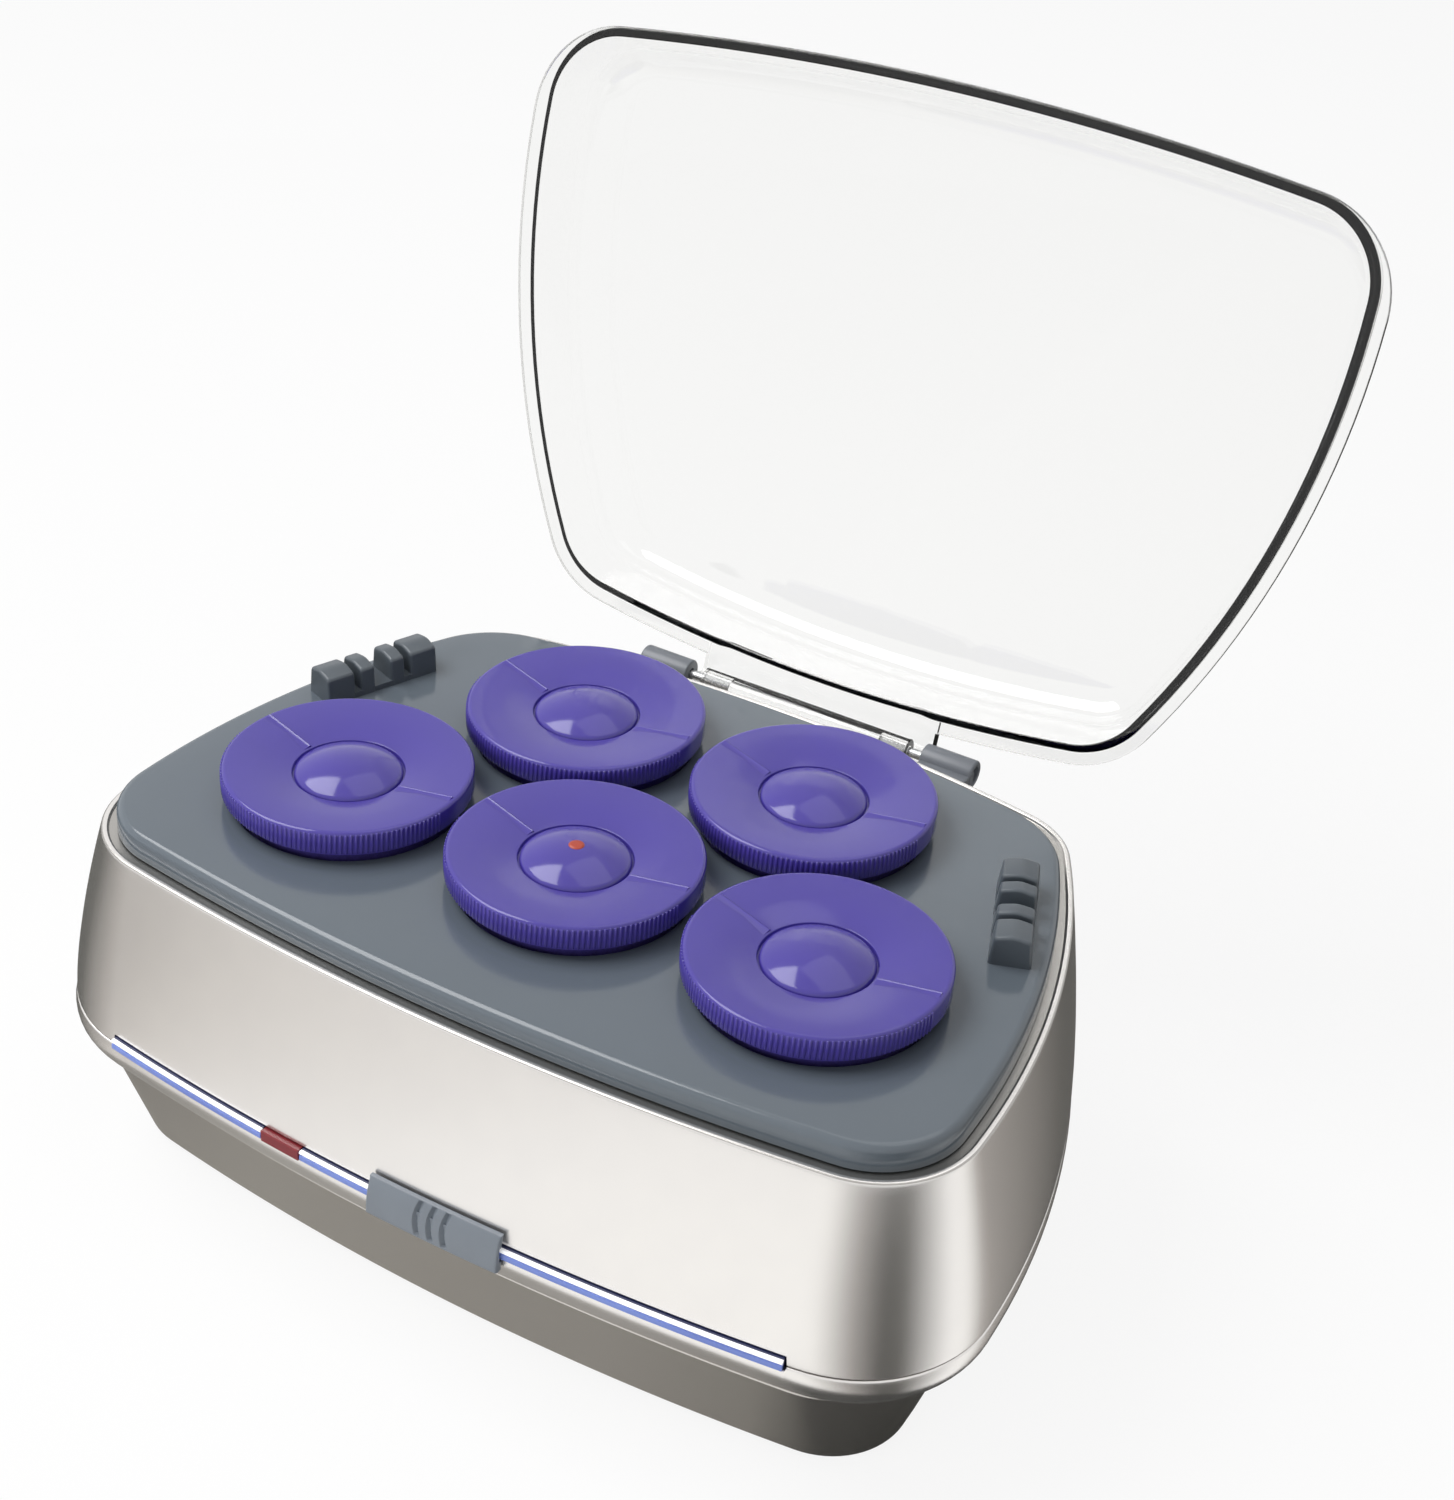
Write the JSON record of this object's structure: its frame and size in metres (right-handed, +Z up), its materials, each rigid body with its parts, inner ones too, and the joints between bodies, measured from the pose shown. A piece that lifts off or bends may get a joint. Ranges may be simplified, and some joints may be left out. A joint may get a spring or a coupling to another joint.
{
  "type": "heated roller set",
  "caption": "Heated hair roller set: a silver case with lift-out rollers on heating posts, a clear hinged lid, clip racks and a slide switch.",
  "frame": {"origin": "under the middle of the space that the case fills with its lid open, at the bottom of the rubber feet", "axes": "+X to the right seen from the front, +Y to the back, +Z up"},
  "size_m": [0.237, 0.2391, 0.2347],
  "materials": {
    "silver_base": "champagne-silver metallic paint, satin, a little darker",
    "steel": "plated steel",
    "grey_rack": "slate grey, semi-gloss",
    "black_plastic": "black, matt",
    "aluminium": "turned or rolled, plain",
    "white_ceramic": "unglazed white",
    "grey_knuckle": "mid grey, satin",
    "lamp_red": "red indicator lamp body",
    "white_nylon": "natural white nylon",
    "lead_sleeve": "heat-proof sleeve",
    "clear_lid": "clear moulded plastic, polished",
    "blue_bar": "translucent blue, glossy",
    "silver_band": "champagne-silver metallic paint, satin",
    "red_lens": "translucent dark red, glossy",
    "grey_knob": "grey, satin",
    "ready_dot": "orange-red heat-sensitive dot",
    "velvet_barrel": "flocked violet sleeve",
    "purple_cap": "violet, semi-gloss with a knurled edge",
    "grey_tray": "slate grey, glossy",
    "rubber_foot": "black, matt",
    "silver_shell": "moulded shell in champagne-silver metallic paint, satin"
  },
  "bodies": {
    "case": {"base": "silver_base", "case_screw_1": "steel", "case_screw_2": "steel", "case_screw_3": "steel", "case_screw_4": "steel", "clip_rack_left": "grey_rack", "clip_rack_right": "grey_rack", "cord_gland": "black_plastic", "heater_plate": "aluminium", "heating_element": "white_ceramic", "heating_post_1": "aluminium", "heating_post_2": "aluminium", "heating_post_3": "aluminium", "heating_post_4": "aluminium", "heating_post_5": "aluminium", "hinge_knuckle_left": "grey_knuckle", "hinge_knuckle_right": "grey_knuckle", "hinge_pin_left": "steel", "hinge_pin_right": "steel", "indicator_lamp": "lamp_red", "lamp_holder": "white_nylon", "lead_heater": "lead_sleeve", "lead_lamp": "lead_sleeve", "lead_mains": "lead_sleeve", "lead_switch": "lead_sleeve", "light_bar": "blue_bar", "lower_band": "silver_band", "plate_screw_1": "steel", "plate_screw_2": "steel", "plate_screw_3": "steel", "power_lens": "red_lens", "roller_tray": "grey_tray", "rubber_foot_1": "rubber_foot", "rubber_foot_2": "rubber_foot", "rubber_foot_3": "rubber_foot", "rubber_foot_4": "rubber_foot", "switch_body": "black_plastic", "terminal_block": "white_nylon", "thermal_fuse": "white_ceramic", "thermostat": "steel", "upper_shell": "silver_shell"},
    "lid_body": {"lid": "clear_lid"},
    "slider_body": {"power_slider": "grey_knob"},
    "roller_1": {"roller_1_barrel": "velvet_barrel", "roller_1_cap": "purple_cap", "roller_1_core": "aluminium"},
    "roller_2": {"ready_dot": "ready_dot", "roller_2_barrel": "velvet_barrel", "roller_2_cap": "purple_cap", "roller_2_core": "aluminium"},
    "roller_3": {"roller_3_barrel": "velvet_barrel", "roller_3_cap": "purple_cap", "roller_3_core": "aluminium"},
    "roller_4": {"roller_4_barrel": "velvet_barrel", "roller_4_cap": "purple_cap", "roller_4_core": "aluminium"},
    "roller_5": {"roller_5_barrel": "velvet_barrel", "roller_5_cap": "purple_cap", "roller_5_core": "aluminium"}
  },
  "joints": [
    {"name": "lid_hinge", "type": "hinge", "parent": "case", "child": "lid_body", "pos_m": [0, 0.0531, 0.0809], "axis": [-1, 0, 0], "range_deg": [-105, 0]},
    {"name": "power_slide", "type": "slide", "parent": "case", "child": "slider_body", "axis": [1, 0, 0], "range_m": [-0.01, 0]},
    {"name": "roller_1_lift", "type": "slide", "parent": "case", "child": "roller_1", "axis": [0, 0, 1], "range_m": [0, 0.085]},
    {"name": "roller_2_lift", "type": "slide", "parent": "case", "child": "roller_2", "axis": [0, 0, 1], "range_m": [0, 0.085]},
    {"name": "roller_3_lift", "type": "slide", "parent": "case", "child": "roller_3", "axis": [0, 0, 1], "range_m": [0, 0.085]},
    {"name": "roller_4_lift", "type": "slide", "parent": "case", "child": "roller_4", "axis": [0, 0, 1], "range_m": [0, 0.085]},
    {"name": "roller_5_lift", "type": "slide", "parent": "case", "child": "roller_5", "axis": [0, 0, 1], "range_m": [0, 0.085]}
  ]
}
